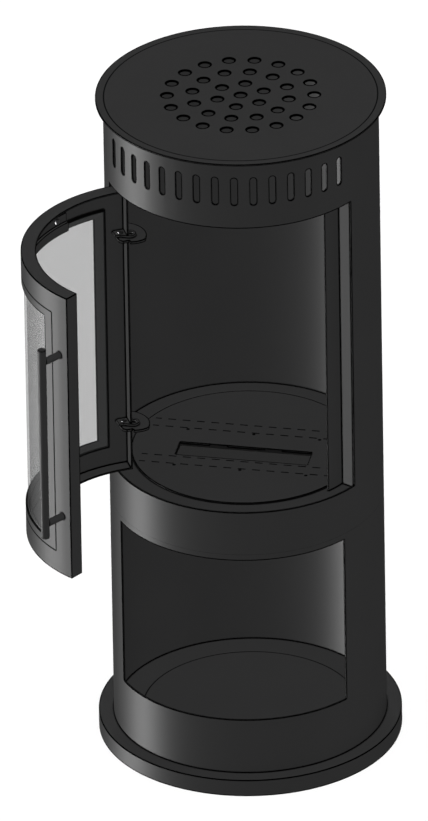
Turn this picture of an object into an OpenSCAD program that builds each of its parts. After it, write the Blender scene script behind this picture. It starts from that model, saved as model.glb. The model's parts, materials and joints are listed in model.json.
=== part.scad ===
// Free-standing bioethanol fireplace: a rolled steel casing on a round base, with an open niche below,
// a burner under a flame slot in the middle and a curved glazed door on the left-hand hinge.
// The front faces -Y, the floor is z = 0, the origin is the middle of the base, sizes are millimetres.
// Angles named for the casing are counted from the front, towards the right.

/* [Base] */
// How far the base stands out beyond the casing
base_overhang = 25; // [12:1:60]
// Height of the base's top face above the floor
base_h = 30; // [26:1:60]
// Sheet thickness of the base pan
base_sheet = 3; // [2:0.5:5]
// Outer diameter of the stiffening ring under the base
base_ring_d = 354; // [250:2:370]
// Diameter of a spacer between the base and its bottom sheet
base_spacer_d = 16; // [12:1:24]
// Diameter of the base screws
base_screw_d = 5; // [3:0.5:6]

/* [Casing] */
// Outer diameter of the casing
casing_d = 450; // [420:5:500]
// Wall thickness of the casing
casing_wall = 3; // [2:0.5:4]
// Shadow gap between the lower and the upper casing
seam_gap = 0.2; // [0.1:0.1:1]
// How far the top plate stands out beyond the casing
top_overhang = 12.5; // [4:0.5:30]
// Thickness of the top plate
top_t = 3; // [2:0.5:6]

/* [Niche] */
// Height of the niche's sill above the base
niche_sill_h = 100; // [60:5:160]
// Height of the niche opening
niche_h = 300; // [200:5:400]
// Height of the lintel between the niche and the seam
niche_head_h = 11; // [10:1:30]
// Half angle of the niche opening
niche_half_angle = 56; // [40:1:60]

/* [Firebox] */
// Height from the seam to the firebox floor ring
plenum_h = 74; // [50:1:120]
// Height from the floor ring to the lower edge of the door opening
sill_h = 5; // [4:1:20]
// Height of the door opening
opening_h = 530; // [480:5:600]
// Half angle of the door opening
opening_half_angle = 63; // [62.5:0.5:66]
// Height of the casing above the door opening
crown_h = 122; // [110:1:160]
// Thickness of the floor ring
ring_t = 3; // [2:0.5:5]
// Width of the floor ring that shows round the floor disc
ring_show = 33.5; // [28:0.5:45]
// How far the floor disc laps over the ring
disc_lap = 5.5; // [3:0.5:10]
// Thickness of the floor disc
disc_t = 3; // [2:0.5:5]

/* [Air slots] */
// Number of upright slots round the front
slot_count = 15; // [3:2:17]
// Angle from one slot to the next
slot_pitch_angle = 8; // [6:0.5:9]
// Width of a slot
slot_w = 10; // [6:0.5:14]
// Height of a slot
slot_h = 50; // [24:1:60]
// Height of the slots' middle above the door opening
slot_rise = 68; // [50:1:72]
// Diameter of the holes in the top plate
top_hole_d = 18; // [8:0.5:22]
// Spacing of the rings of holes in the top plate
top_hole_pitch = 40; // [30:1:50]
// Number of rings of holes round the middle one
top_hole_rings = 3; // [1:1:3]

/* [Jambs] */
// Thickness of the jamb sheets
jamb_t = 2; // [1.5:0.5:3]
// Gap between the closed door and the stop flange
stop_gap = 0.5; // [0.4:0.1:2]
// Half width of the stop flange behind the door's free end, as an angle
stop_angle = 9.8; // [6:0.2:14]
// How much further round the left jamb sits than the edge of the opening, as an angle
left_jamb_setback = 3; // [2.5:0.5:4]
// Height of the door magnet
magnet_h = 40; // [20:1:60]
// Depth of the door magnet
magnet_depth = 8; // [5:0.5:12]

/* [Door] */
// Gap round the closed door
door_gap = 5; // [3:0.5:8]
// Half angle of the door
door_half_angle = 61.75; // [60:0.05:61.9]
// Depth of the door's folded edges
door_depth = 25; // [22:0.5:28]
// Sheet thickness of the door
door_sheet = 3; // [2:0.5:3]
// Height of the solid band above and below the window
window_margin = 53; // [45:1:90]
// Half angle of the window
window_half_angle = 47.5; // [30:0.5:48]
// How far the door stands open at rest, as an angle
door_open_angle = 92.5; // [0:0.5:95]

/* [Glazing] */
// Thickness of the glass
glass_t = 4; // [3:0.5:5]
// How far the glass laps behind the window's upper and lower edges
glass_lap = 15; // [10:0.5:18]
// How far the glass laps behind the window's side edges, as an angle
glass_side_lap_angle = 5; // [2:0.5:5]
// Thickness of the gasket tape under the glass
gasket_t = 1; // [0.5:0.5:2]
// Sheet thickness of a glass retainer
retainer_t = 2; // [1:0.5:2.5]
// Height of a glass retainer
retainer_h = 31.5; // [28:0.5:36]
// Half angle of a glass retainer
retainer_half_angle = 33; // [20:1:40]
// Angle of the retainer screws to each side of the door's middle
retainer_screw_angle = 27; // [10:1:30]
// Diameter of a retainer screw's shank
retainer_screw_d = 5; // [3:0.5:6]

/* [Handle] */
// Length of the handle bar
handle_l = 350; // [320:5:450]
// Diameter of the handle bar
handle_d = 14; // [12:0.5:18]
// Distance between the handle's two standoffs
handle_span = 300; // [200:5:310]
// Diameter of a standoff
standoff_d = 12; // [9:0.5:12]
// Clear distance between the door and the handle bar
handle_off = 32; // [25:1:50]
// Distance from the door's free end to the handle's middle, along the door
handle_inset = 18.5; // [16:0.5:24]
// Diameter of the handle's screws
handle_screw_d = 6; // [4:0.5:6]

/* [Hinges] */
// Distance from the door's outer face to the hinge pin's axis
pivot_depth = 12; // [12:0.5:14]
// Distance from the door's hinge end to the hinge pin's axis
pivot_inset = 11.3; // [11:0.1:12]
// Diameter of the hinge pins
pin_d = 8; // [6:0.5:9]
// Radial clearance of a hinge pin in its lug
pin_fit = 0.08; // [0.03:0.01:0.1]
// Thickness of a hinge plate
hinge_plate_t = 5; // [3:0.5:6]
// Radius of a hinge plate about its pin
hinge_plate_r = 43.5; // [40:0.5:44]
// Distance from the door's upper edge down to the upper hinge plate's top face
hinge_drop = 87; // [70:1:150]
// Distance from the door's lower edge up to the lower hinge plate's top face
hinge_rise = 81; // [70:1:150]
// Thickness of a hinge washer
washer_t = 0.5; // [0.5:0.5:2]
// Thickness of a hinge lug
lug_t = 4; // [3:0.5:8]
// Radius of a hinge lug's round end, beyond the door's end
lug_end_r = 10.5; // [9:0.5:11]
// How far a hinge lug reaches past the door's end
lug_reach = 13.6; // [11:0.1:14]
// Diameter of the hole in a hinge lug's round end
lug_hole_d = 12; // [8:0.5:14]

/* [Burner] */
// Distance of the burner's middle behind the stove's axis
burner_y = 3.5; // [-8:0.5:8]
// Length of the flame slot
flame_slot_l = 220; // [120:5:230]
// Width of the flame slot
flame_slot_w = 43; // [30:1:44]
// Clear width between the two rails
rail_gap = 97; // [96:1:100]
// Width of a rail
rail_w = 24; // [18:1:25]
// Sheet thickness of a rail
rail_t = 2; // [1.5:0.5:2.5]
// Thickness of the burner cover
cover_t = 2; // [1.5:0.5:3]
// Sheet thickness of the burner tank
tank_t = 1.5; // [1:0.5:2.5]
// Length of the burner tank
tank_l = 280; // [250:5:290]
// Thickness of the damper lid
lid_t = 2; // [1.5:0.5:2.5]
// How far the damper lid laps over the ends of the flame slot
lid_end_lap = 10; // [5:1:12]
// How far the damper lid laps over the slot's rear edge when it is shut
lid_rear_lap = 7; // [4:1:7]
// Width of a finger tab on the damper lid
tab_w = 28; // [15:1:40]
// Distance of a finger tab's middle from the middle of the slot
tab_x = 46; // [30:1:50]
// Diameter of the rail screws
rail_screw_d = 5; // [3:0.5:6]
// Spacing of the rail screws
rail_screw_pitch = 110; // [80:5:112]

/* [Inner fixings] */
// Diameter of the casing bolts and top studs
bolt_d = 6; // [4:0.5:8]
// Number of casing bolts
bolt_count = 6; // [3:1:12]
// Width of the flange ring inside the lower casing
flange_w = 22; // [20:1:30]
// Thickness of the flange ring and the niche ceiling
flange_t = 3; // [2:0.5:4]
// Number of top brackets
bracket_count = 4; // [3:1:6]
// Leg length of a top bracket
bracket_leg = 25; // [20:1:25]

/* [Hidden] */
$fn = 96;

// Finishes
enamel = [0.17, 0.17, 0.17];
bare_steel = [0.45, 0.45, 0.46];
tape = [0.12, 0.12, 0.12];
fibre = [0.2, 0.2, 0.2];
pane = [0.72, 0.74, 0.74, 0.35];

// Angles
quarter = 90;
half_turn = 180;
full_turn = 360;

// Cuts run past what they cut by this much
overrun = 1;
// Screw heads, nuts and plates that lie on a curved wall stand this far off it
seat_gap = 0.1;
// Loose parts that slide or lie beside each other keep this gap
slide_gap = 0.3;
// Holes for bolts and screws are wider than the shank by this much
bolt_clearance = 0.6;

// Stack of heights from the floor up
niche_low = base_h + niche_sill_h;
niche_high = niche_low + niche_h;
seam_z = niche_high + niche_head_h;
floor_z = seam_z + plenum_h;
opening_low = floor_z + sill_h;
opening_high = opening_low + opening_h;
crown_z = opening_high + crown_h;
total_h = crown_z + top_t;
door_low = opening_low + door_gap;
door_high = opening_high - door_gap;
door_mid = (door_low + door_high) / 2;

// Radii
casing_r = casing_d / 2;
casing_in_r = casing_r - casing_wall;
base_r = casing_r + base_overhang;
base_ring_r = base_ring_d / 2;
base_spacer_r = (base_ring_r + base_r - base_sheet) / 2;
base_spacer_count = 6;
top_r = casing_r + top_overhang;
disc_r = casing_in_r - ring_show;
ring_in_r = disc_r - disc_lap;
skin_in_r = casing_r - door_sheet;
door_in_r = casing_r - door_depth;
gasket_in_r = skin_in_r - gasket_t;
glass_out_r = gasket_in_r - seat_gap;
glass_in_r = glass_out_r - glass_t;
stop_out_r = door_in_r - stop_gap;
stop_in_r = stop_out_r - jamb_t;

// Window and glass
window_low = door_low + window_margin;
window_high = door_high - window_margin;
glass_low = window_low - glass_lap;
glass_high = window_high + glass_lap;
glass_half_angle = window_half_angle + glass_side_lap_angle;
gasket_edge_angle = 0.5;
retainer_show_share = 0.07;
retainer_low = window_high + glass_lap * retainer_show_share;

// Hinge axis, and heights of the hinge plates' top faces
pivot_r = casing_r - pivot_depth;
pivot_angle = door_half_angle - asin(pivot_inset / pivot_r);
hinge_upper_z = door_high - hinge_drop;
hinge_lower_z = door_low + hinge_rise;
pivot_edge_r = pivot_depth - door_sheet;
hinge_clearance = 0.9;
nose_r = pivot_edge_r - hinge_clearance;
// The farther of the door's two end corners sets how much the hinge plates are cut back
end_angle = door_half_angle - pivot_angle;
inner_corner_r = norm([door_in_r * sin(end_angle), pivot_r - door_in_r * cos(end_angle)]);
outer_corner_r = norm([casing_r * sin(end_angle), casing_r * cos(end_angle) - pivot_r]);
sweep_r = max(inner_corner_r, outer_corner_r) + hinge_clearance;
// The door's swept corner runs from straight outwards to behind the pin, plus some over-travel
sweep_angle = 158;
// Round front edge of a hinge plate: its radius, and its middle inwards of the pin and towards the jamb
plate_front_share = 0.8;
plate_back_share = 0.47;
plate_side_share = 0.115;
// A plate ends short of the glass's edge, which swings past it
plate_side_y = glass_in_r * sin(pivot_angle - glass_half_angle) - 2 * hinge_clearance;
slot_extra_angle = 0.25;
lug_z_gap = washer_t + slide_gap;
// The middle of a lug's round end lies inwards of the pin by this share of its radius
lug_end_share = 0.57;
lug_end_x = -lug_end_r * lug_end_share;

// Handle
handle_angle = door_half_angle - handle_inset / casing_r * half_turn / PI;
handle_r = casing_r + handle_off + handle_d / 2;
handle_bevel_share = 0.08;

// Screws and nuts, as shares of the shank
head_d_share = 1.8;
head_h_share = 0.6;
nut_d_share = 1.92;
nut_h_share = 0.8;
thread_depth_share = 2.4;
sunk_head_share = 0.8;

// Burner stack, from the floor disc downwards
disc_low = floor_z;
lid_high = disc_low - slide_gap;
lid_low = lid_high - lid_t;
cover_high = lid_low - slide_gap;
cover_low = cover_high - cover_t;
tank_rim_t = 2;
tank_high = cover_low - tank_rim_t;
rail_low = tank_high - rail_t;
tank_floor_gap = 6;
tank_low = seam_z + flange_t + tank_floor_gap;
rail_y = rail_gap / 2 + rail_w / 2;
rail_reach_y = rail_gap / 2 + rail_w + abs(burner_y);
rail_l = 2 * (sqrt(pow(ring_in_r, 2) - pow(rail_reach_y, 2)) - seat_gap) - 2 * overrun;
flame_slot_margin = 1;
flame_front_y = burner_y - rail_gap / 2 + flame_slot_margin;
flame_rear_y = flame_front_y + flame_slot_w;
flame_mid_y = (flame_front_y + flame_rear_y) / 2;
tank_w = rail_gap - 2 * overrun;
tank_flange_w = rail_gap + 2 * (rail_w - rail_t - slide_gap) - overrun;
tank_flange_lip = 10;
tank_flange_l = tank_l + 2 * tank_flange_lip;
lid_l = flame_slot_l + 2 * lid_end_lap;
lid_w = flame_slot_w - slide_gap + lid_rear_lap;
tab_t = 2;
tab_clearance = 0.6;
lid_travel = flame_slot_w - tab_t - 2 * slide_gap;
guide_w = 7;

// Top brackets
bracket_w_angle = 4;
bracket_turn = 45;
bracket_t = 3;
bracket_stud_r = casing_in_r - bracket_leg / 2 - bracket_t;
stud_l = 14;

// Ring section turned about the middle, between two radii and two heights
module ring(r_in, r_out, z_low, z_high) {
  rotate_extrude()
    translate([r_in, z_low])
      square([r_out - r_in, z_high - z_low]);
}

// Part of such a ring, about a middle angle counted from the front
module arc_slab(r_in, r_out, z_low, z_high, half_angle, mid_angle = 0) {
  rotate([0, 0, mid_angle - half_angle - quarter])
    rotate_extrude(angle = 2 * half_angle)
      translate([r_in, z_low])
        square([r_out - r_in, z_high - z_low]);
}

// Places its children at an angle from the front and a distance from the middle, with -Y outwards
module at_angle(angle, r) {
  rotate([0, 0, angle])
    translate([0, -r, 0])
      children();
}

// Places its children with the origin on the hinge axis, +X outwards and +Y towards the door's middle
module at_pivot() {
  rotate([0, 0, -pivot_angle - quarter])
    translate([pivot_r, 0, 0])
      children();
}

// Turns the door's pieces from the shut position to the rest position
module swung_open() {
  rotate([0, 0, -pivot_angle - quarter])
    translate([pivot_r, 0, 0])
      rotate([0, 0, -door_open_angle])
        translate([-pivot_r, 0, 0])
          rotate([0, 0, pivot_angle + quarter])
            children();
}

// Turns upside down about the door's mid height
module about_door_mid() {
  translate([0, 0, 2 * door_mid])
    mirror([0, 0, 1])
      children();
}

module hex(d_share, shank_d, h) {
  cylinder(d = shank_d * d_share, h = h, $fn = 6);
}

// Base

module base_plate() {
  color(enamel)
    difference() {
      cylinder(r = base_r, h = base_h);
      translate([0, 0, -overrun])
        cylinder(r = base_r - base_sheet, h = base_h - base_sheet + overrun);
    }
}

module base_ring() {
  color(enamel)
    ring(base_ring_r - base_sheet, base_ring_r, base_sheet, base_h - base_sheet);
}

module each_base_spacer() {
  for (i = [0 : base_spacer_count - 1])
    at_angle((i + 0.5) * full_turn / base_spacer_count, base_spacer_r)
      children();
}

module base_spacers() {
  color(bare_steel)
    each_base_spacer()
      difference() {
        translate([0, 0, base_sheet])
          cylinder(d = base_spacer_d, h = base_h - 2 * base_sheet);
        cylinder(d = base_screw_d + 2 * seat_gap, h = base_sheet + base_screw_d * thread_depth_share);
      }
}

module base_screw_cut(clearance) {
  head_h = base_sheet * sunk_head_share;
  cylinder(d1 = base_screw_d * head_d_share + clearance, d2 = base_screw_d + clearance, h = head_h);
}

module base_bottom() {
  color(enamel)
    difference() {
      cylinder(r = base_r - base_sheet, h = base_sheet);
      each_base_spacer() {
        translate([0, 0, -overrun])
          cylinder(d = base_screw_d + seat_gap, h = base_sheet + 2 * overrun);
        base_screw_cut(seat_gap);
      }
    }
}

module base_screws() {
  color(bare_steel)
    each_base_spacer() {
      base_screw_cut(0);
      cylinder(d = base_screw_d, h = base_sheet + base_screw_d * thread_depth_share - overrun);
    }
}

// Lower casing with the niche

module lower_casing() {
  color(enamel)
    difference() {
      ring(casing_in_r, casing_r, base_h, seam_z - seam_gap);
      arc_slab(casing_in_r - overrun, casing_r + overrun, niche_low, niche_high, niche_half_angle);
    }
}

module each_bolt() {
  for (i = [0 : bolt_count - 1])
    at_angle((i + 0.5) * full_turn / bolt_count, casing_in_r - flange_w / 2)
      children();
}

module bolt_holes(z_low, z_high) {
  each_bolt()
    translate([0, 0, z_low - overrun])
      cylinder(d = bolt_d + bolt_clearance, h = z_high - z_low + 2 * overrun);
}

module lower_flange() {
  color(enamel)
    difference() {
      ring(casing_in_r - flange_w, casing_in_r, seam_z - flange_t, seam_z);
      bolt_holes(seam_z - flange_t, seam_z);
    }
}

module niche_ceiling() {
  color(enamel)
    difference() {
      translate([0, 0, seam_z])
        cylinder(r = casing_in_r, h = flange_t);
      bolt_holes(seam_z, seam_z + flange_t);
    }
}

module casing_bolts() {
  color(bare_steel)
    each_bolt() {
      translate([0, 0, seam_z - flange_t - bolt_d * head_h_share])
        hex(head_d_share, bolt_d, bolt_d * head_h_share);
      translate([0, 0, seam_z - flange_t - bolt_d * head_h_share])
        cylinder(d = bolt_d, h = 2 * flange_t + bolt_d * (head_h_share + nut_h_share) + overrun);
    }
}

module casing_nuts() {
  color(bare_steel)
    each_bolt()
      translate([0, 0, seam_z + flange_t])
        difference() {
          hex(nut_d_share, bolt_d, bolt_d * nut_h_share);
          translate([0, 0, -overrun])
            cylinder(d = bolt_d + 2 * seat_gap, h = bolt_d + 2 * overrun);
        }
}

// Upper casing with the door opening and the air slots

module air_slot() {
  translate([0, opening_high + slot_rise]) {
    square([slot_w, slot_h - slot_w], center = true);
    for (side = [-1, 1])
      translate([0, side * (slot_h - slot_w) / 2])
        circle(d = slot_w);
  }
}

module upper_casing() {
  color(enamel)
    difference() {
      ring(casing_in_r, casing_r, seam_z, crown_z);
      arc_slab(casing_in_r - overrun, casing_r + overrun, opening_low, opening_high, opening_half_angle);
      for (i = [0 : slot_count - 1])
        at_angle((i - (slot_count - 1) / 2) * slot_pitch_angle, casing_in_r - overrun)
          rotate([quarter, 0, 0])
            linear_extrude(casing_wall + 2 * overrun)
              air_slot();
    }
}

module floor_ring() {
  color(enamel)
    ring(ring_in_r, casing_in_r, floor_z - ring_t, floor_z);
}

// A jamb's outline lies behind the radial plane at its angle; side is 1 on the right and -1 on the left
module jamb_leg(face_angle, side, r_in) {
  intersection() {
    circle(r = casing_in_r);
    rotate([0, 0, side * face_angle])
      translate([side > 0 ? 0 : -jamb_t, -casing_r])
        square([jamb_t, casing_r - r_in]);
  }
}

module between_stop_angles() {
  reach = 2 * casing_r;
  difference() {
    rotate([0, 0, opening_half_angle - stop_angle])
      translate([0, -reach])
        square([reach, reach]);
    rotate([0, 0, opening_half_angle])
      translate([jamb_t, -reach])
        square([reach, 2 * reach]);
  }
}

// The right jamb's flange stops the door's free end
module right_jamb() {
  color(enamel)
    translate([0, 0, floor_z])
      linear_extrude(opening_high + sill_h - floor_z)
        union() {
          jamb_leg(opening_half_angle, 1, stop_in_r + jamb_t / 2);
          intersection() {
            difference() {
              circle(r = stop_out_r);
              circle(r = stop_in_r);
            }
            between_stop_angles();
          }
        }
}

module left_jamb() {
  color(enamel)
    translate([0, 0, floor_z])
      linear_extrude(opening_high + sill_h - floor_z)
        jamb_leg(opening_half_angle + left_jamb_setback, -1, stop_out_r);
}

module door_magnet() {
  color(bare_steel)
    arc_slab(stop_in_r - magnet_depth, stop_in_r, door_mid - magnet_h / 2, door_mid + magnet_h / 2,
             stop_angle / 4, opening_half_angle - stop_angle / 2);
}

// Hinges

// Flat outline of a hinge plate: a round plate around the pin, cut back where the door's corner
// sweeps past and kept clear of the door's skin and glass
module hinge_plate_outline() {
  difference() {
    intersection() {
      circle(r = casing_in_r);
      at_pivot()
        intersection() {
          circle(r = hinge_plate_r);
          translate([-hinge_plate_r * plate_back_share, -hinge_plate_r * plate_side_share])
            circle(r = hinge_plate_r * plate_front_share);
        }
    }
    at_pivot() {
      difference() {
        circle(r = sweep_r);
        circle(r = nose_r);
        sweep_keep();
      }
      translate([-nose_r, plate_side_y])
        square(2 * hinge_plate_r);
    }
    difference() {
      at_pivot()
        square(2 * hinge_plate_r);
      circle(r = skin_in_r - hinge_clearance);
    }
    beyond_left_jamb();
  }
}

// The side of the pin where the door's corner never comes
module sweep_keep() {
  reach = 2 * sweep_r;
  polygon([
    [0, 0],
    [reach * cos(sweep_angle), -reach * sin(sweep_angle)],
    [-reach, reach],
    [reach, reach],
    [reach, 0]
  ]);
}

module beyond_left_jamb() {
  difference() {
    rotate([0, 0, -opening_half_angle - left_jamb_setback - quarter])
      translate([0, -casing_r])
        square(casing_r);
    circle(r = stop_out_r - slide_gap);
  }
}

module hinge_plate(z_top) {
  color(enamel)
    difference() {
      translate([0, 0, z_top - hinge_plate_t])
        linear_extrude(hinge_plate_t)
          hinge_plate_outline();
      at_pivot()
        translate([0, 0, z_top - hinge_plate_t - overrun])
          cylinder(d = pin_d, h = hinge_plate_t + 2 * overrun);
    }
}

module hinge_plate_upper() {
  hinge_plate(hinge_upper_z);
}

module hinge_plate_lower() {
  hinge_plate(hinge_lower_z);
}

module hinge_pin(z_top) {
  color(bare_steel)
    at_pivot()
      translate([0, 0, z_top - hinge_plate_t])
        cylinder(d = pin_d, h = hinge_plate_t + lug_z_gap + lug_t + overrun);
}

module hinge_pin_upper() {
  hinge_pin(hinge_upper_z);
}

module hinge_pin_lower() {
  hinge_pin(hinge_lower_z);
}

module hinge_washers() {
  color(bare_steel)
    for (z_top = [hinge_upper_z, hinge_lower_z])
      at_pivot()
        translate([0, 0, z_top])
          difference() {
            cylinder(r = nose_r, h = washer_t);
            translate([0, 0, -overrun])
              cylinder(d = pin_d + 2 * pin_fit, h = washer_t + 2 * overrun);
          }
}

// Top plate

module each_bracket() {
  for (i = [0 : bracket_count - 1])
    rotate([0, 0, bracket_turn + i * full_turn / bracket_count])
      children();
}

module top_plate() {
  color(enamel)
    difference() {
      translate([0, 0, crown_z])
        cylinder(r = top_r, h = top_t);
      translate([0, 0, crown_z - overrun])
        cylinder(d = top_hole_d, h = top_t + 2 * overrun);
      for (k = [1 : top_hole_rings])
        for (i = [1 : 6 * k])
          at_angle(i * full_turn / (6 * k), k * top_hole_pitch)
            translate([0, 0, crown_z - overrun])
              cylinder(d = top_hole_d, h = top_t + 2 * overrun);
    }
}

// Welded under the top plate
module top_studs() {
  color(bare_steel)
    each_bracket()
      translate([0, -bracket_stud_r, crown_z - stud_l])
        cylinder(d = bolt_d, h = stud_l);
}

module top_brackets() {
  color(enamel)
    each_bracket()
      difference() {
        union() {
          arc_slab(casing_in_r - bracket_t, casing_in_r, crown_z - bracket_leg, crown_z, bracket_w_angle);
          arc_slab(casing_in_r - bracket_leg, casing_in_r, crown_z - bracket_t, crown_z, bracket_w_angle);
        }
        translate([0, -bracket_stud_r, crown_z - bracket_leg])
          cylinder(d = bolt_d + bolt_clearance, h = bracket_leg + overrun);
      }
}

module top_nuts() {
  color(bare_steel)
    each_bracket()
      translate([0, -bracket_stud_r, crown_z - bracket_t - bolt_d * nut_h_share])
        difference() {
          hex(nut_d_share, bolt_d, bolt_d * nut_h_share);
          translate([0, 0, -overrun])
            cylinder(d = bolt_d + 2 * seat_gap, h = bolt_d + 2 * overrun);
        }
}

// Lift-out floor with the burner

module each_rail_screw() {
  for (i = [-1 : 1])
    for (side = [-1, 1])
      translate([i * rail_screw_pitch, burner_y + side * rail_y, 0])
        children();
}

module rail_screw_holes(z_low, z_high) {
  each_rail_screw()
    translate([0, 0, z_low - overrun])
      cylinder(d = rail_screw_d + seat_gap, h = z_high - z_low + 2 * overrun);
}

module floor_disc() {
  color(enamel)
    difference() {
      translate([0, 0, disc_low])
        cylinder(r = disc_r, h = disc_t);
      translate([-flame_slot_l / 2, flame_front_y, disc_low - overrun])
        cube([flame_slot_l, flame_slot_w, disc_t + 2 * overrun]);
    }
}

// A channel that is open towards the burner, drawn for the front rail
module rail() {
  difference() {
    translate([-rail_l / 2, -rail_gap / 2 - rail_w, rail_low])
      cube([rail_l, rail_w, disc_low - rail_low]);
    translate([-rail_l / 2 - overrun, -rail_gap / 2 - rail_w + rail_t, rail_low + rail_t])
      cube([rail_l + 2 * overrun, rail_w, disc_low - rail_low - 2 * rail_t]);
  }
}

module front_rail() {
  color(enamel)
    difference() {
      translate([0, burner_y, 0])
        rail();
      rail_screw_holes(rail_low, rail_low + rail_t);
    }
}

module rear_rail() {
  color(enamel)
    difference() {
      translate([0, burner_y, 0])
        mirror([0, 1, 0])
          rail();
      rail_screw_holes(rail_low, rail_low + rail_t);
    }
}

// From below, through a rail and the burner's rim into its cover
module rail_screws() {
  head_h = rail_screw_d * head_h_share;
  color(bare_steel)
    each_rail_screw() {
      translate([0, 0, rail_low - head_h])
        cylinder(d = rail_screw_d * head_d_share, h = head_h);
      translate([0, 0, rail_low - head_h / 2])
        cylinder(d = rail_screw_d, h = cover_high - rail_low + head_h / 2);
    }
}

module burner_tank() {
  color(bare_steel)
    difference() {
      union() {
        translate([-tank_l / 2, burner_y - tank_w / 2, tank_low])
          cube([tank_l, tank_w, cover_low - tank_low]);
        translate([-tank_flange_l / 2, burner_y - tank_flange_w / 2, tank_high])
          cube([tank_flange_l, tank_flange_w, tank_rim_t]);
      }
      translate([-tank_l / 2 + tank_t, burner_y - tank_w / 2 + tank_t, tank_low + tank_t])
        cube([tank_l - 2 * tank_t, tank_w - 2 * tank_t, cover_low - tank_low]);
      rail_screw_holes(tank_high, cover_low);
    }
}

module burner_cover() {
  color(bare_steel)
    difference() {
      translate([-tank_flange_l / 2, burner_y - tank_flange_w / 2, cover_low])
        cube([tank_flange_l, tank_flange_w, cover_t]);
      translate([-flame_slot_l / 2, flame_front_y, cover_low - overrun])
        cube([flame_slot_l, flame_slot_w, cover_t + 2 * overrun]);
      rail_screw_holes(cover_low, cover_high);
    }
}

module lid_guides() {
  color(bare_steel)
    for (side = [-1, 1])
      translate([side * (lid_l / 2 + slide_gap + guide_w / 2) - guide_w / 2, flame_front_y, cover_high])
        cube([guide_w, rail_gap - 2 * flame_slot_margin, disc_low - cover_high]);
}

module burner_filler() {
  color(fibre)
    translate([-tank_l / 2 + tank_t + slide_gap, burner_y - tank_w / 2 + tank_t + slide_gap, tank_low + tank_t])
      cube([
        tank_l - 2 * tank_t - 2 * slide_gap,
        tank_w - 2 * tank_t - 2 * slide_gap,
        cover_low - tank_low - tank_t - slide_gap
      ]);
}

// Drawn slid back, so that the flame slot is open and the tabs rest at its rear edge
module damper_lid() {
  color(bare_steel)
    translate([0, flame_front_y + slide_gap + lid_travel, 0]) {
      translate([-lid_l / 2, 0, lid_low])
        cube([lid_l, lid_w, lid_t]);
      for (side = [-1, 1])
        translate([side * tab_x - tab_w / 2, 0, lid_low])
          cube([tab_w, tab_t, disc_low + disc_t - tab_clearance - lid_low]);
    }
}

// Door, drawn shut and then swung open

// Space between the two folded ends of the door, reaching past its outer face
module between_door_ends(z_low, z_high) {
  apex = door_sheet / sin(door_half_angle);
  reach = 2 * casing_r;
  translate([0, 0, z_low])
    linear_extrude(z_high - z_low)
      polygon([
        [0, -apex],
        [reach * sin(door_half_angle), -apex - reach * cos(door_half_angle)],
        [0, -apex - 2 * reach],
        [-reach * sin(door_half_angle), -apex - reach * cos(door_half_angle)]
      ]);
}

// Way through the door's hinge end for a hinge plate and its lug
module hinge_end_slot(z_top) {
  slot_half_angle = asin(door_sheet / door_in_r) / 2 + slot_extra_angle;
  arc_slab(door_in_r - overrun, skin_in_r - overrun, z_top - hinge_plate_t - 2 * overrun,
           z_top + lug_z_gap + lug_t + slide_gap, slot_half_angle,
           slot_half_angle - door_half_angle - slot_extra_angle);
}

module door_shell() {
  color(enamel)
    swung_open()
      difference() {
        arc_slab(door_in_r, casing_r, door_low, door_high, door_half_angle);
        intersection() {
          translate([0, 0, door_low + door_sheet])
            cylinder(r = skin_in_r, h = door_high - door_low - 2 * door_sheet);
          between_door_ends(door_low, door_high);
        }
        arc_slab(skin_in_r - overrun, casing_r + overrun, window_low, window_high, window_half_angle);
        hinge_end_slot(hinge_upper_z);
        hinge_end_slot(hinge_lower_z);
        for (side = [-1, 1])
          at_angle(handle_angle, skin_in_r - overrun)
            translate([0, 0, door_mid + side * handle_span / 2])
              rotate([quarter, 0, 0])
                cylinder(d = handle_screw_d + bolt_clearance, h = door_sheet + 2 * overrun);
      }
}

module door_glass() {
  color(pane)
    swung_open()
      arc_slab(glass_in_r, glass_out_r, glass_low, glass_high, glass_half_angle);
}

module glass_gasket() {
  color(tape)
    swung_open()
      difference() {
        arc_slab(gasket_in_r, skin_in_r, glass_low + overrun, glass_high - overrun,
                 glass_half_angle - gasket_edge_angle);
        arc_slab(gasket_in_r - overrun, skin_in_r + overrun, window_low - overrun, window_high + overrun,
                 window_half_angle + gasket_edge_angle);
      }
}

// Z-shaped strip: its foot is screwed to the door, its edge clamps the glass
module glass_retainer() {
  step_z = glass_high + slide_gap;
  low_z = retainer_low;
  difference() {
    union() {
      arc_slab(skin_in_r - retainer_t, skin_in_r, step_z, low_z + retainer_h, retainer_half_angle);
      arc_slab(glass_in_r - retainer_t, skin_in_r, step_z, step_z + retainer_t, retainer_half_angle);
      arc_slab(glass_in_r - retainer_t, glass_in_r, low_z, step_z + retainer_t, retainer_half_angle);
    }
    each_retainer_screw()
      cylinder(d = retainer_screw_d + bolt_clearance, h = 2 * retainer_t + overrun);
  }
}

// Centre lines of the upper retainer's screws, from inside its foot outwards
module each_retainer_screw() {
  low_z = glass_high + slide_gap + retainer_t;
  high_z = retainer_low + retainer_h;
  for (side = [-1, 1])
    at_angle(side * retainer_screw_angle, skin_in_r - 2 * retainer_t)
      translate([0, 0, (low_z + high_z) / 2])
        rotate([quarter, 0, 0])
          children();
}

module retainer_screw_pair() {
  head_h = retainer_screw_d * head_h_share;
  each_retainer_screw() {
    translate([0, 0, retainer_t - head_h - seat_gap])
      cylinder(d = retainer_screw_d * head_d_share, h = head_h);
    cylinder(d = retainer_screw_d, h = 2 * retainer_t - seat_gap);
  }
}

module glass_retainer_upper() {
  color(enamel)
    swung_open()
      glass_retainer();
}

module glass_retainer_lower() {
  color(enamel)
    swung_open()
      about_door_mid()
        glass_retainer();
}

module retainer_screws() {
  color(bare_steel)
    swung_open() {
      retainer_screw_pair();
      about_door_mid()
        retainer_screw_pair();
    }
}

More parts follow.
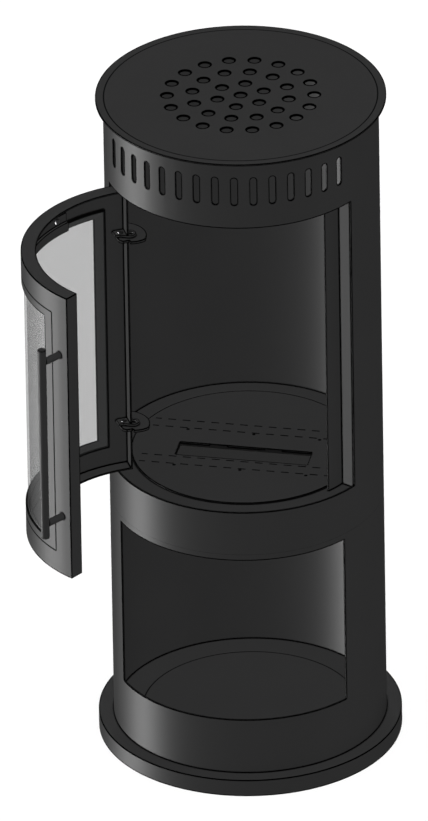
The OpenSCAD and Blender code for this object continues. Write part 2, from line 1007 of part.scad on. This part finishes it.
// Lug welded inside the door over a hinge plate, bored for the pin, its round end passing through the
// door's end
module hinge_lug(z_top) {
  end_y = lug_end_r - pivot_inset - lug_reach;
  color(enamel)
    swung_open()
      translate([0, 0, z_top + lug_z_gap])
        difference() {
          linear_extrude(lug_t)
            intersection() {
              circle(r = skin_in_r);
              at_pivot() {
                translate([-nose_r, -pivot_inset + door_sheet])
                  square([pivot_depth + nose_r, pivot_inset - door_sheet + lug_end_r]);
                hull() {
                  circle(r = nose_r);
                  translate([lug_end_x, end_y])
                    circle(r = lug_end_r);
                }
              }
            }
          at_pivot()
            translate([0, 0, -overrun])
              cylinder(d = pin_d + 2 * pin_fit, h = lug_t + 2 * overrun);
          at_pivot()
            translate([lug_end_x, end_y, -overrun])
              cylinder(d = lug_hole_d, h = lug_t + 2 * overrun);
        }
}

module hinge_lug_upper() {
  hinge_lug(hinge_upper_z);
}

module hinge_lug_lower() {
  hinge_lug(hinge_lower_z);
}

// Handle

module handle_bar() {
  bevel = handle_d * handle_bevel_share;
  color(enamel)
    swung_open()
      at_angle(handle_angle, handle_r)
        translate([0, 0, door_mid - handle_l / 2])
          rotate_extrude()
            polygon([
              [0, 0],
              [handle_d / 2 - bevel, 0],
              [handle_d / 2, bevel],
              [handle_d / 2, handle_l - bevel],
              [handle_d / 2 - bevel, handle_l],
              [0, handle_l]
            ]);
}

module each_standoff() {
  for (side = [-1, 1])
    at_angle(handle_angle, casing_r)
      translate([0, 0, door_mid + side * handle_span / 2])
        rotate([quarter, 0, 0])
          children();
}

module handle_standoffs() {
  color(enamel)
    swung_open()
      difference() {
        each_standoff()
          cylinder(d = standoff_d, h = handle_off + handle_d / 2);
        at_angle(handle_angle, handle_r)
          translate([0, 0, door_mid - handle_l / 2])
            cylinder(d = handle_d, h = handle_l);
        each_standoff()
          translate([0, 0, -overrun])
            cylinder(d = handle_screw_d + 2 * seat_gap, h = handle_screw_d * thread_depth_share + overrun);
      }
}

module handle_screws() {
  head_h = handle_screw_d * head_h_share;
  color(bare_steel)
    swung_open()
      each_standoff()
        translate([0, 0, -door_sheet - seat_gap]) {
          translate([0, 0, -head_h])
            cylinder(d = handle_screw_d * head_d_share, h = head_h);
          cylinder(d = handle_screw_d, h = door_sheet + handle_screw_d * thread_depth_share - seat_gap);
        }
}

base_plate();
base_ring();
base_spacers();
base_bottom();
base_screws();
lower_casing();
lower_flange();
niche_ceiling();
casing_bolts();
casing_nuts();
upper_casing();
floor_ring();
right_jamb();
left_jamb();
door_magnet();
hinge_plate_upper();
hinge_plate_lower();
hinge_pin_upper();
hinge_pin_lower();
hinge_washers();
top_plate();
top_studs();
top_brackets();
top_nuts();
floor_disc();
front_rail();
rear_rail();
rail_screws();
burner_tank();
burner_cover();
lid_guides();
burner_filler();
damper_lid();
door_shell();
door_glass();
glass_gasket();
glass_retainer_upper();
glass_retainer_lower();
retainer_screws();
hinge_lug_upper();
hinge_lug_lower();
handle_bar();
handle_standoffs();
handle_screws();
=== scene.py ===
import json
import math

import bpy
from mathutils import Matrix, Vector

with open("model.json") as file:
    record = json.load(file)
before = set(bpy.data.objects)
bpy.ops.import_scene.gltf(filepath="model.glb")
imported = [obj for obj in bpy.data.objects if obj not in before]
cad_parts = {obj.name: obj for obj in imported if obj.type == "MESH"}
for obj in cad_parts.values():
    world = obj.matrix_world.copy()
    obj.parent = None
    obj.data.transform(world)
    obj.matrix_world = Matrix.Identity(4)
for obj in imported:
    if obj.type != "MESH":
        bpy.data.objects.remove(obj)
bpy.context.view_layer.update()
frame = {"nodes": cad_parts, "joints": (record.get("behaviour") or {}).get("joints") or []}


# Base
# The foot is a round steel tray turned upside down: a top plate with a deep rim, a ring that
# stiffens it, and a bottom plate screwed to spacers. The sheet has the stove's matt dark coat.
def add_node(tree, kind, **settings):
    node = tree.nodes.new("ShaderNode" + kind)
    for key, value in settings.items():
        setattr(node, key, value)
    return node


def wire(tree, source, target):
    tree.links.new(source, target)


def put(node, index, value):
    node.inputs[index].default_value = value


def math_node(tree, operation, first, second=None, third=None, clamp=False):
    node = add_node(tree, "Math", operation=operation, use_clamp=clamp)
    for index, value in enumerate((first, second, third)):
        if value is None:
            continue
        if isinstance(value, (int, float)):
            put(node, index, value)
        else:
            wire(tree, value, node.inputs[index])
    return node.outputs[0]


def noise(tree, coordinates, scale, detail):
    node = add_node(tree, "TexNoise")
    put(node, "Scale", scale)
    put(node, "Detail", detail)
    wire(tree, coordinates, node.inputs["Vector"])
    return node.outputs["Fac"]


def node_group(name, inputs, outputs):
    group = bpy.data.node_groups.new(name, "ShaderNodeTree")
    for label, kind, value in inputs:
        socket = group.interface.new_socket(
            label, in_out="INPUT", socket_type="NodeSocket" + kind
        )
        socket.default_value = value
    for label, kind in outputs:
        group.interface.new_socket(label, in_out="OUTPUT", socket_type="NodeSocket" + kind)
    given = group.nodes.new("NodeGroupInput").outputs
    result = group.nodes.new("NodeGroupOutput").inputs
    return group, given, result


def between(tree, value, start, end):
    node = add_node(tree, "MapRange", interpolation_type="SMOOTHSTEP")
    put(node, "From Min", start)
    put(node, "From Max", end)
    wire(tree, value, node.inputs["Value"])
    return node.outputs["Result"]


# Sheet edges are dark, as the photo draws them, and joints get painted shade. An edge is where
# the surface turns within a short reach, and a joint is where another face stands that close.
EDGE_REACH = 0.004
EDGE_SAMPLES = 8
FLAT_COSINE, TURNED_COSINE = 0.999, 0.98
OPEN_SHARE, CLOSED_SHARE = 0.95, 0.65
CREASE_SHADE_DEPTH = 0.9


def make_dark_edges_and_crease_shade():
    group, given, result = node_group(
        "dark_edges_and_crease_shade",
        [("Edge", "Float", 1.0), ("Reach", "Float", EDGE_REACH)],
        [("Mask", "Float")],
    )
    rounded = add_node(group, "Bevel", samples=EDGE_SAMPLES)
    wire(group, given["Reach"], rounded.inputs["Radius"])
    turned = add_node(group, "VectorMath", operation="DOT_PRODUCT")
    wire(group, rounded.outputs["Normal"], turned.inputs[0])
    wire(group, add_node(group, "NewGeometry").outputs["Normal"], turned.inputs[1])
    bend = between(group, turned.outputs["Value"], FLAT_COSINE, TURNED_COSINE)
    edge = math_node(group, "MULTIPLY", bend, given["Edge"])
    # Painted shade: the joint part darkens creases and gaps where ambient occlusion finds another
    # face close.
    openness = add_node(group, "AmbientOcclusion", samples=EDGE_SAMPLES)
    wire(group, given["Reach"], openness.inputs["Distance"])
    closeness = between(group, openness.outputs["AO"], OPEN_SHARE, CLOSED_SHARE)
    joint = math_node(group, "MULTIPLY", closeness, CREASE_SHADE_DEPTH)
    wire(group, math_node(group, "MAXIMUM", edge, joint), result["Mask"])
    return group


# The coat has the fine bumps of baked powder and a slightly uneven colour.
COAT_COLOUR = (0.029, 0.029, 0.0292, 1)
GRAIN_SCALE, GRAIN_DETAIL = 900.0, 2.0
GRAIN_STRENGTH, GRAIN_HEIGHT = 0.12, 0.0003
CLOUD_SCALE, CLOUD_DETAIL = 9.0, 3.0
CLOUD_SPREAD, CLOUD_LOW = 0.12, 0.94
GLOSS_SCALE, GLOSS_DETAIL = 60.0, 3.0
ROUGHNESS_SPREAD, ROUGHNESS_LOW = 0.2, 0.6
SHEEN_WEIGHT, SHEEN_ROUGHNESS = 0.4, 0.45


def make_powder_coat():
    group, given, result = node_group(
        "powder_coat",
        [("Colour", "Color", COAT_COLOUR), ("Dark", "Float", 0.0), ("Line", "Float", 0.0)],
        [("Colour", "Color"), ("Roughness", "Float"), ("Sheen", "Float"), ("Normal", "Vector")],
    )
    place = add_node(group, "TexCoord").outputs["Object"]

    bump = add_node(group, "Bump")
    put(bump, "Strength", GRAIN_STRENGTH)
    put(bump, "Distance", GRAIN_HEIGHT)
    wire(group, noise(group, place, GRAIN_SCALE, GRAIN_DETAIL), bump.inputs["Height"])
    wire(group, bump.outputs["Normal"], result["Normal"])

    # Dark brings the dark sheet edges and the painted shade in joints; with Line it takes colour
    # and sheen away.
    dark_part = math_node(group, "MAXIMUM", given["Dark"], given["Line"])
    clear_part = math_node(group, "SUBTRACT", 1.0, dark_part, clamp=True)

    clouds = noise(group, place, CLOUD_SCALE, CLOUD_DETAIL)
    uneven = math_node(group, "MULTIPLY_ADD", clouds, CLOUD_SPREAD, CLOUD_LOW)
    tinted = add_node(group, "VectorMath", operation="SCALE")
    wire(group, given["Colour"], tinted.inputs[0])
    wire(group, math_node(group, "MULTIPLY", clear_part, uneven), tinted.inputs["Scale"])
    wire(group, tinted.outputs["Vector"], result["Colour"])
    wire(group, math_node(group, "MULTIPLY", clear_part, SHEEN_WEIGHT), result["Sheen"])
    gloss = noise(group, place, GLOSS_SCALE, GLOSS_DETAIL)
    roughness = math_node(group, "MULTIPLY_ADD", gloss, ROUGHNESS_SPREAD, ROUGHNESS_LOW)
    wire(group, roughness, result["Roughness"])
    return group


dark_edges_and_crease_shade = make_dark_edges_and_crease_shade()
powder_coat = make_powder_coat()


def coated_steel(name, lines=None, edge_reach=EDGE_REACH, edge_strength=None):
    material = bpy.data.materials.new(name)
    material.use_nodes = True
    tree = material.node_tree
    shader = tree.nodes["Principled BSDF"]
    coat = add_node(tree, "Group", node_tree=powder_coat)
    edge_and_shade_mask = add_node(tree, "Group", node_tree=dark_edges_and_crease_shade)
    put(edge_and_shade_mask, "Reach", edge_reach)
    if edge_strength:
        wire(tree, edge_strength(tree), edge_and_shade_mask.inputs["Edge"])
    wire(tree, edge_and_shade_mask.outputs["Mask"], coat.inputs["Dark"])
    if lines:
        wire(tree, lines(tree), coat.inputs["Line"])
    put(shader, "Specular IOR Level", 0.0)
    put(shader, "Coat Roughness", SHEEN_ROUGHNESS)
    wire(tree, coat.outputs["Colour"], shader.inputs["Base Color"])
    wire(tree, coat.outputs["Roughness"], shader.inputs["Roughness"])
    wire(tree, coat.outputs["Sheen"], shader.inputs["Coat Weight"])
    wire(tree, coat.outputs["Normal"], shader.inputs["Normal"])
    wire(tree, coat.outputs["Normal"], shader.inputs["Coat Normal"])
    return material


def finish(node_names, material):
    for node_name in node_names:
        node = frame["nodes"][node_name]
        if not node.material_slots:
            node.data.materials.append(material)
        for slot in node.material_slots:
            slot.link = "OBJECT"
            slot.material = material


# Faint lines show where a piece lies just behind a face, here the stiffening ring.
RING_LINE_HALF_WIDTH = 0.0012
RING_LINE_DEPTH = 0.8


def place_axes(tree):
    split = add_node(tree, "SeparateXYZ")
    wire(tree, add_node(tree, "TexCoord").outputs["Object"], split.inputs[0])
    return split.outputs


def near(tree, value, target, half_width):
    return math_node(tree, "COMPARE", value, target, half_width)


def both(tree, first, second):
    return math_node(tree, "MULTIPLY", first, second)


def either(tree, first, second):
    return math_node(tree, "MAXIMUM", first, second)


def length_of(tree, x, y):
    squares = math_node(tree, "ADD", both(tree, x, x), both(tree, y, y))
    return math_node(tree, "SQRT", squares)


def ring_line(tree, radius):
    x, y = place_axes(tree)[:2]
    ring = near(tree, length_of(tree, x, y), radius, RING_LINE_HALF_WIDTH)
    return both(tree, ring, RING_LINE_DEPTH)


BASE_RING_RADIUS = 0.177


def base_lines(tree):
    return ring_line(tree, BASE_RING_RADIUS)


FINE_EDGE_REACH = 0.0025
coat = coated_steel("coat")
fine_coat = coated_steel("fine_coat", edge_reach=FINE_EDGE_REACH)
finish(["base_plate"], coated_steel("base_coat", base_lines))
finish(["base_ring", "base_bottom"], coat)


# The spacers and screws of the base are bright zinc-plated steel, brushed along one way.
BRUSH_SCALE = (40.0, 900.0, 900.0)
BRUSH_DETAIL = 3.0
BRUSH_SMOOTHER, BRUSH_ROUGHER = 0.06, 0.1
ZINC_COLOUR, ZINC_ROUGHNESS = (0.42, 0.42, 0.43, 1), 0.38


def brushed_steel(name, colour, roughness):
    material = bpy.data.materials.new(name)
    material.use_nodes = True
    tree = material.node_tree
    shader = tree.nodes["Principled BSDF"]
    stretch = add_node(tree, "Mapping")
    put(stretch, "Scale", BRUSH_SCALE)
    wire(tree, add_node(tree, "TexCoord").outputs["Object"], stretch.inputs["Vector"])
    gloss = add_node(tree, "MapRange")
    put(gloss, "To Min", roughness - BRUSH_SMOOTHER)
    put(gloss, "To Max", roughness + BRUSH_ROUGHER)
    wire(tree, noise(tree, stretch.outputs["Vector"], 1.0, BRUSH_DETAIL), gloss.inputs["Value"])
    wire(tree, gloss.outputs["Result"], shader.inputs["Roughness"])
    put(shader, "Base Color", colour)
    put(shader, "Metallic", 1.0)
    return material


zinc = brushed_steel("zinc", ZINC_COLOUR, ZINC_ROUGHNESS)
finish(["base_spacers", "base_screws"], zinc)

# Lower casing
# A rolled steel drum with a wide niche cut out of its front. A flange welded inside its top edge
# takes the bolts that join it to the upper casing, whose floor plate closes the niche.
SEAM_HEIGHT = 0.441
SEAM_REACH = 0.006


def away_from_seam(tree):
    z = place_axes(tree)[2]
    return math_node(tree, "SUBTRACT", 1.0, near(tree, z, SEAM_HEIGHT, SEAM_REACH))


casing_coat = coated_steel("casing_coat", edge_strength=away_from_seam)
finish(["lower_casing"], casing_coat)
finish(["lower_flange", "niche_ceiling"], coat)
finish(["casing_bolts", "casing_nuts"], zinc)

# Upper casing
# The same drum again, around the fire chamber. It has the door opening, a row of air slots, two
# folded jambs and the ring that carries the floor; a magnet on the right jamb holds the door.
finish(["upper_casing"], casing_coat)
finish(["floor_ring", "right_jamb", "left_jamb"], coat)
finish(["door_magnet"], zinc)

# Hinges
# A thick plate at each height, cut round about its pin and welded to the left jamb, carries a
# turned pin with a washer, on which the door's lug sits.
finish(["hinge_plate_upper", "hinge_plate_lower"], coat)
finish(["hinge_pin_upper", "hinge_pin_lower", "hinge_washers"], zinc)

# Top plate
# A flat disc with rings of vent holes that overhangs the casing all round. Nuts on welded studs
# clamp it to angle brackets in the casing. A faint ring shows where the casing's wall stands.
CASING_MID_RADIUS = 0.2235
HOLE_RADIUS = 0.009
HOLE_PITCH = 0.04
HOLE_RINGS = 3
RINGS_FIRST_COUNT = 6
HOLE_RIM = 0.0028
HOLE_RIM_DEPTH = 0.95


def top_lines(tree):
    x, y = place_axes(tree)[:2]
    from_middle = length_of(tree, x, y)
    angle = math_node(tree, "ARCTAN2", x, y)
    nearest = from_middle
    for ring in range(1, HOLE_RINGS + 1):
        turn = math_node(tree, "PINGPONG", angle, math.pi / (RINGS_FIRST_COUNT * ring))
        along = both(tree, from_middle, math_node(tree, "COSINE", turn))
        across = both(tree, from_middle, math_node(tree, "SINE", turn))
        ahead = math_node(tree, "SUBTRACT", along, ring * HOLE_PITCH)
        nearest = math_node(tree, "MINIMUM", nearest, length_of(tree, ahead, across))
    rims = math_node(tree, "LESS_THAN", nearest, HOLE_RADIUS + HOLE_RIM)
    return either(tree, both(tree, rims, HOLE_RIM_DEPTH), ring_line(tree, CASING_MID_RADIUS))


finish(["top_plate"], coated_steel("top_coat", top_lines))
finish(["top_brackets"], coat)
finish(["top_studs", "top_nuts"], zinc)

# Lift-out floor
# A disc with the flame slot and, welded under it, two channels that stiffen it and take the
# burner's rim, which six screws hold from below. Faint lines and dots show where they lie.
RAIL_HALF_LENGTH = 0.165
RAIL_LINES = (-0.0745, -0.0505, 0.0465, 0.0705)
RAIL_LINE_HALF_WIDTH = 0.0016
RAIL_DASH = 0.024
RAIL_DASH_SHARE = 0.55
RAIL_MARK_DEPTH = 0.9
RAIL_DOTS = (-0.079, 0.042)
RAIL_DOT_SHIFT = 0.0045
RAIL_SCREW_PITCH = 0.11
RAIL_DOT_RADIUS = 0.003


def rail_marks(tree):
    x, y = place_axes(tree)[:2]
    lines = near(tree, y, RAIL_LINES[0], RAIL_LINE_HALF_WIDTH)
    for line in RAIL_LINES[1:]:
        lines = either(tree, lines, near(tree, y, line, RAIL_LINE_HALF_WIDTH))
    inside = math_node(tree, "LESS_THAN", math_node(tree, "ABSOLUTE", x), RAIL_HALF_LENGTH)
    along = math_node(tree, "FRACT", both(tree, x, 1 / RAIL_DASH))
    dashes = math_node(tree, "LESS_THAN", along, RAIL_DASH_SHARE)
    marks = both(tree, both(tree, lines, inside), dashes)
    for middle_y in RAIL_DOTS:
        for step in (-1, 0, 1):
            aside = math_node(tree, "SUBTRACT", x, step * RAIL_SCREW_PITCH + RAIL_DOT_SHIFT)
            ahead = math_node(tree, "SUBTRACT", y, middle_y)
            dot = math_node(tree, "LESS_THAN", length_of(tree, aside, ahead), RAIL_DOT_RADIUS)
            marks = either(tree, marks, dot)
    return both(tree, marks, RAIL_MARK_DEPTH)


finish(["floor_disc"], coated_steel("floor_coat", rail_marks))
finish(["front_rail", "rear_rail"], fine_coat)
finish(["rail_screws"], zinc)

# Burner
# A welded tank with a slotted cover, two guides and a sliding lid, all in sheet steel that the
# fire has darkened. The tank is packed with felted ceramic fibre.
BURNT_COLOUR, BURNT_ROUGHNESS = (0.1, 0.1, 0.1, 1), 0.5
burner_steel = brushed_steel("burner_steel", BURNT_COLOUR, BURNT_ROUGHNESS)
finish(["burner_tank", "burner_cover", "lid_guides", "damper_lid"], burner_steel)


FIBRE_ROUGHNESS, FIBRE_SPECULAR = 0.95, 0.1
FLUFF_DETAIL, FLUFF_STRENGTH, FLUFF_HEIGHT = 4.0, 0.5, 0.0004
FLUFF_SPREAD, FLUFF_LOW = 0.6, 0.7
CERAMIC_COLOUR, CERAMIC_SCALE = (0.027, 0.027, 0.027), 700.0


def fibre(name, colour, scale):
    material = bpy.data.materials.new(name)
    material.use_nodes = True
    tree = material.node_tree
    shader = tree.nodes["Principled BSDF"]
    put(shader, "Roughness", FIBRE_ROUGHNESS)
    put(shader, "Specular IOR Level", FIBRE_SPECULAR)
    place = add_node(tree, "TexCoord").outputs["Object"]
    fluff = noise(tree, place, scale, FLUFF_DETAIL)
    bump = add_node(tree, "Bump")
    put(bump, "Strength", FLUFF_STRENGTH)
    put(bump, "Distance", FLUFF_HEIGHT)
    wire(tree, fluff, bump.inputs["Height"])
    wire(tree, bump.outputs["Normal"], shader.inputs["Normal"])
    tinted = add_node(tree, "VectorMath", operation="SCALE")
    put(tinted, 0, colour)
    shade = math_node(tree, "MULTIPLY_ADD", fluff, FLUFF_SPREAD, FLUFF_LOW)
    wire(tree, shade, tinted.inputs["Scale"])
    wire(tree, tinted.outputs["Vector"], shader.inputs["Base Color"])
    return material


finish(["burner_filler"], fibre("ceramic_fibre", CERAMIC_COLOUR, CERAMIC_SCALE))

# Door
# A curved steel frame, folded at both ends, around a curved pane that is clamped against a woven
# tape by a strip at the top and one at the bottom. Faint lines show the pane behind the frame.
hinge = next(joint for joint in frame["joints"] if joint["name"] == "door_hinge")
hinge_axis = Vector(hinge["pos_m"])
DOOR_SWING = math.radians(-92.5)
DOOR_RADIUS = 0.225
PANE_HALF_ANGLE = math.radians(52.5)
PANE_LOW, PANE_HIGH = 0.563, 1.007
door_middle = hinge_axis + Matrix.Rotation(DOOR_SWING, 4, "Z") @ -hinge_axis


def pane_outline(tree, half_width):
    x, y, z = place_axes(tree)
    from_middle_x = math_node(tree, "SUBTRACT", x, door_middle.x)
    from_middle_y = math_node(tree, "SUBTRACT", y, door_middle.y)
    ahead_x, ahead_y = math.sin(DOOR_SWING), -math.cos(DOOR_SWING)
    ahead = math_node(
        tree, "ADD", both(tree, from_middle_x, ahead_x), both(tree, from_middle_y, ahead_y)
    )
    aside = math_node(
        tree, "ADD", both(tree, from_middle_x, -ahead_y), both(tree, from_middle_y, ahead_x)
    )
    angle = math_node(tree, "ABSOLUTE", math_node(tree, "ARCTAN2", aside, ahead))
    half_height = (PANE_HIGH - PANE_LOW) / 2
    level = math_node(
        tree, "ABSOLUTE", math_node(tree, "SUBTRACT", z, PANE_LOW + half_height)
    )
    upright = both(
        tree, near(tree, angle, PANE_HALF_ANGLE, half_width / DOOR_RADIUS),
        math_node(tree, "LESS_THAN", level, half_height),
    )
    across = both(
        tree, near(tree, level, half_height, half_width),
        math_node(tree, "LESS_THAN", angle, PANE_HALF_ANGLE),
    )
    return either(tree, upright, across), length_of(tree, from_middle_x, from_middle_y)


PANE_LINE_HALF_WIDTH = 0.0015
PANE_LINE_DEPTH = 0.9
SKIN_TOLERANCE = 0.001


def pane_lines(tree):
    outline, radius = pane_outline(tree, PANE_LINE_HALF_WIDTH)
    outer_skin = math_node(tree, "GREATER_THAN", radius, DOOR_RADIUS - SKIN_TOLERANCE)
    return both(tree, both(tree, outline, outer_skin), PANE_LINE_DEPTH)


finish(["door_shell"], coated_steel("door_coat", pane_lines))
finish(
    ["glass_retainer_upper", "glass_retainer_lower", "hinge_lug_upper", "hinge_lug_lower"],
    fine_coat,
)
finish(["retainer_screws"], zinc)
TAPE_COLOUR, TAPE_SCALE = (0.05, 0.05, 0.05), 1400.0
finish(["glass_gasket"], fibre("woven_tape", TAPE_COLOUR, TAPE_SCALE))


# Each face of the grey-tinted pane takes away a third of the light and adds a soft, slightly
# smudged sheen. Its ground edges, and a narrow band beside them, are opaque and dark, and painted
# shade makes it opaque and dark where another piece stands close.
GLASS_BODY = 0.345
GLASS_COLOUR = (0.04, 0.041, 0.041)
GLASS_SPECULAR = 0.28
SMUDGE_SCALE, SMUDGE_DETAIL = 14.0, 4.0
GLASS_ROUGHNESS_SPREAD, GLASS_ROUGHNESS_LOW = 0.06, 0.44
GLASS_EDGE_REACH = 0.003
PANE_RIM = 0.0028


def tinted_glass():
    material = bpy.data.materials.new("tinted_glass")
    material.use_nodes = True
    tree = material.node_tree
    shader = tree.nodes["Principled BSDF"]
    put(shader, "Specular IOR Level", GLASS_SPECULAR)
    edge_and_shade_mask = add_node(tree, "Group", node_tree=dark_edges_and_crease_shade)
    put(edge_and_shade_mask, "Reach", GLASS_EDGE_REACH)
    # This mask holds the dark edges, the band beside them, and painted shade near other pieces.
    dark = either(tree, edge_and_shade_mask.outputs["Mask"], pane_outline(tree, PANE_RIM)[0])
    body = math_node(tree, "MULTIPLY_ADD", dark, 1.0 - GLASS_BODY, GLASS_BODY)
    wire(tree, body, shader.inputs["Alpha"])
    tint = add_node(tree, "VectorMath", operation="SCALE")
    put(tint, 0, GLASS_COLOUR)
    wire(tree, math_node(tree, "SUBTRACT", 1.0, dark), tint.inputs["Scale"])
    wire(tree, tint.outputs["Vector"], shader.inputs["Base Color"])
    place = add_node(tree, "TexCoord").outputs["Object"]
    smudges = noise(tree, place, SMUDGE_SCALE, SMUDGE_DETAIL)
    roughness = math_node(
        tree, "MULTIPLY_ADD", smudges, GLASS_ROUGHNESS_SPREAD, GLASS_ROUGHNESS_LOW
    )
    wire(tree, roughness, shader.inputs["Roughness"])
    return material


finish(["door_glass"], tinted_glass())

# Handle
# A round steel bar with flat ends, on two turned standoffs. A screw from inside the door holds
# each of them.
finish(["handle_bar", "handle_standoffs"], fine_coat)
finish(["handle_screws"], zinc)

# Camera
# The photo is a parallel view from 11.45 degrees right of the front and 29.34 degrees up. A long
# lens far away comes closest to it at slightly smaller angles. Its top leans a little to the left.
VIEW_AZIMUTH = math.radians(11.41)
VIEW_ELEVATION = math.radians(29.19)
VIEW_ROLL = math.radians(0.96)
LOOK_AT = Vector((-0.0509, -0.0103, 0.5868))
CAMERA_DISTANCE = 48.0
VIEW_HEIGHT = 1.3459
SENSOR_HEIGHT = 24.0
CLIP_START, CLIP_END = 1.0, 100.0

towards_camera = Vector((
    math.sin(VIEW_AZIMUTH) * math.cos(VIEW_ELEVATION),
    -math.cos(VIEW_AZIMUTH) * math.cos(VIEW_ELEVATION),
    math.sin(VIEW_ELEVATION),
))
camera_data = bpy.data.cameras.new("camera")
camera_data.sensor_fit = "VERTICAL"
camera_data.sensor_height = SENSOR_HEIGHT
camera_data.lens = SENSOR_HEIGHT * CAMERA_DISTANCE / VIEW_HEIGHT
camera_data.clip_start = CLIP_START
camera_data.clip_end = CLIP_END
camera = bpy.data.objects.new("camera", camera_data)
bpy.context.collection.objects.link(camera)
facing = (-towards_camera).to_track_quat("-Z", "Y").to_matrix().to_4x4()
camera.matrix_world = (
    Matrix.Translation(LOOK_AT + towards_camera * CAMERA_DISTANCE) @ facing
    @ Matrix.Rotation(-VIEW_ROLL, 4, "Z")
)
bpy.context.scene.camera = camera
bpy.context.scene.view_settings.view_transform = "Standard"

# Floor and backdrop
# A plain pale floor and sky. What the camera sees of them directly or through the pane is white.
# The floor takes the stove's soft shadow, but throws no light and no reflection back onto it.
FLOOR_SIZE = 16.0
FLOOR_COLOUR = (0.7, 0.7, 0.7, 1)
WHITE = (1, 1, 1, 1)
bpy.ops.mesh.primitive_plane_add(size=FLOOR_SIZE)
floor = bpy.context.object
floor.name = "floor"
floor.visible_shadow = False
floor.visible_glossy = False
floor.visible_diffuse = False
floor_material = bpy.data.materials.new("floor")
floor_material.use_nodes = True
floor_tree = floor_material.node_tree
floor_shader = floor_tree.nodes["Principled BSDF"]
put(floor_shader, "Base Color", FLOOR_COLOUR)
put(floor_shader, "Roughness", 1.0)
put(floor_shader, "Specular IOR Level", 0.0)
put(floor_shader, "Emission Color", WHITE)


def seen_directly(tree):
    rays = add_node(tree, "LightPath").outputs
    return either(tree, rays["Is Camera Ray"], rays["Is Transmission Ray"])


FLOOR_GLOW = 0.25
wire(
    floor_tree, both(floor_tree, seen_directly(floor_tree), FLOOR_GLOW),
    floor_shader.inputs["Emission Strength"],
)
floor.data.materials.append(floor_material)

SKY_LIGHT = 0.06
SKY_SHINE = 0.1
world = bpy.data.worlds.new("studio")
bpy.context.scene.world = world
world.use_nodes = True
world_tree = world.node_tree
sky = world_tree.nodes["Background"]
put(sky, "Color", WHITE)
mirrored = add_node(world_tree, "LightPath").outputs["Is Glossy Ray"]
shine = both(world_tree, mirrored, SKY_SHINE)
sky_level = either(world_tree, either(world_tree, seen_directly(world_tree), shine), SKY_LIGHT)
wire(world_tree, sky_level, sky.inputs["Strength"])

# Lamps
# A tall soft strip on the left gives the sheen, reaching below the floor's level because a wall
# seen from above mirrors what lies low. Suns all round light the colour. The stove blocks none of
# this, so that its hollows show as clearly as its outside; one more sun lights the floor alone.
def gather(name, member):
    collection = bpy.data.collections.new(name)
    collection.objects.link(member)
    return collection


def hang_lamp(name, kind, place, target, strength):
    lamp = bpy.data.lights.new(name, kind)
    lamp.energy = strength
    holder = bpy.data.objects.new(name, lamp)
    bpy.context.collection.objects.link(holder)
    aim = (Vector(target) - Vector(place)).to_track_quat("-Z", "Y")
    holder.matrix_world = Matrix.Translation(place) @ aim.to_matrix().to_4x4()
    holder.visible_camera = False
    holder.visible_transmission = False
    return holder


only_floor = gather("only_floor", floor)
STRIP_AZIMUTH = math.radians(-88.0)
STRIP_DISTANCE = 5.0
STRIP_HEIGHT = -1.9
STRIP_WIDTH, STRIP_LENGTH = 1.7, 6.0
STRIP_WATTS = 560.0
strip_place = (
    STRIP_DISTANCE * math.sin(STRIP_AZIMUTH),
    -STRIP_DISTANCE * math.cos(STRIP_AZIMUTH),
    STRIP_HEIGHT,
)
strip = hang_lamp("strip", "AREA", strip_place, (0, 0, STRIP_HEIGHT), STRIP_WATTS)
strip.visible_diffuse = False
strip.light_linking.blocker_collection = only_floor
strip.data.shape = "RECTANGLE"
strip.data.size = STRIP_WIDTH
strip.data.size_y = STRIP_LENGTH
strip.data.cycles.use_multiple_importance_sampling = False

SUN_RISE = math.radians(27)
SUN_SPREAD = math.radians(20)
SUNS = ((-60, 1.7), (20, 2.0), (100, 1.3), (200, 1.15))
for azimuth, strength in SUNS:
    turn = math.radians(azimuth)
    sun_place = (math.sin(turn), -math.cos(turn), math.tan(SUN_RISE))
    sun = hang_lamp("sun_%d" % azimuth, "SUN", sun_place, (0, 0, 0), strength)
    sun.visible_glossy = False
    sun.light_linking.blocker_collection = only_floor
    sun.data.angle = SUN_SPREAD

OVERHEAD_PLACE = (0, -0.2, 1)
OVERHEAD_STRENGTH = 0.7
OVERHEAD_SPREAD = math.radians(100)
overhead = hang_lamp("overhead", "SUN", OVERHEAD_PLACE, (0, 0, 0), OVERHEAD_STRENGTH)
overhead.data.angle = OVERHEAD_SPREAD
overhead.light_linking.receiver_collection = only_floor
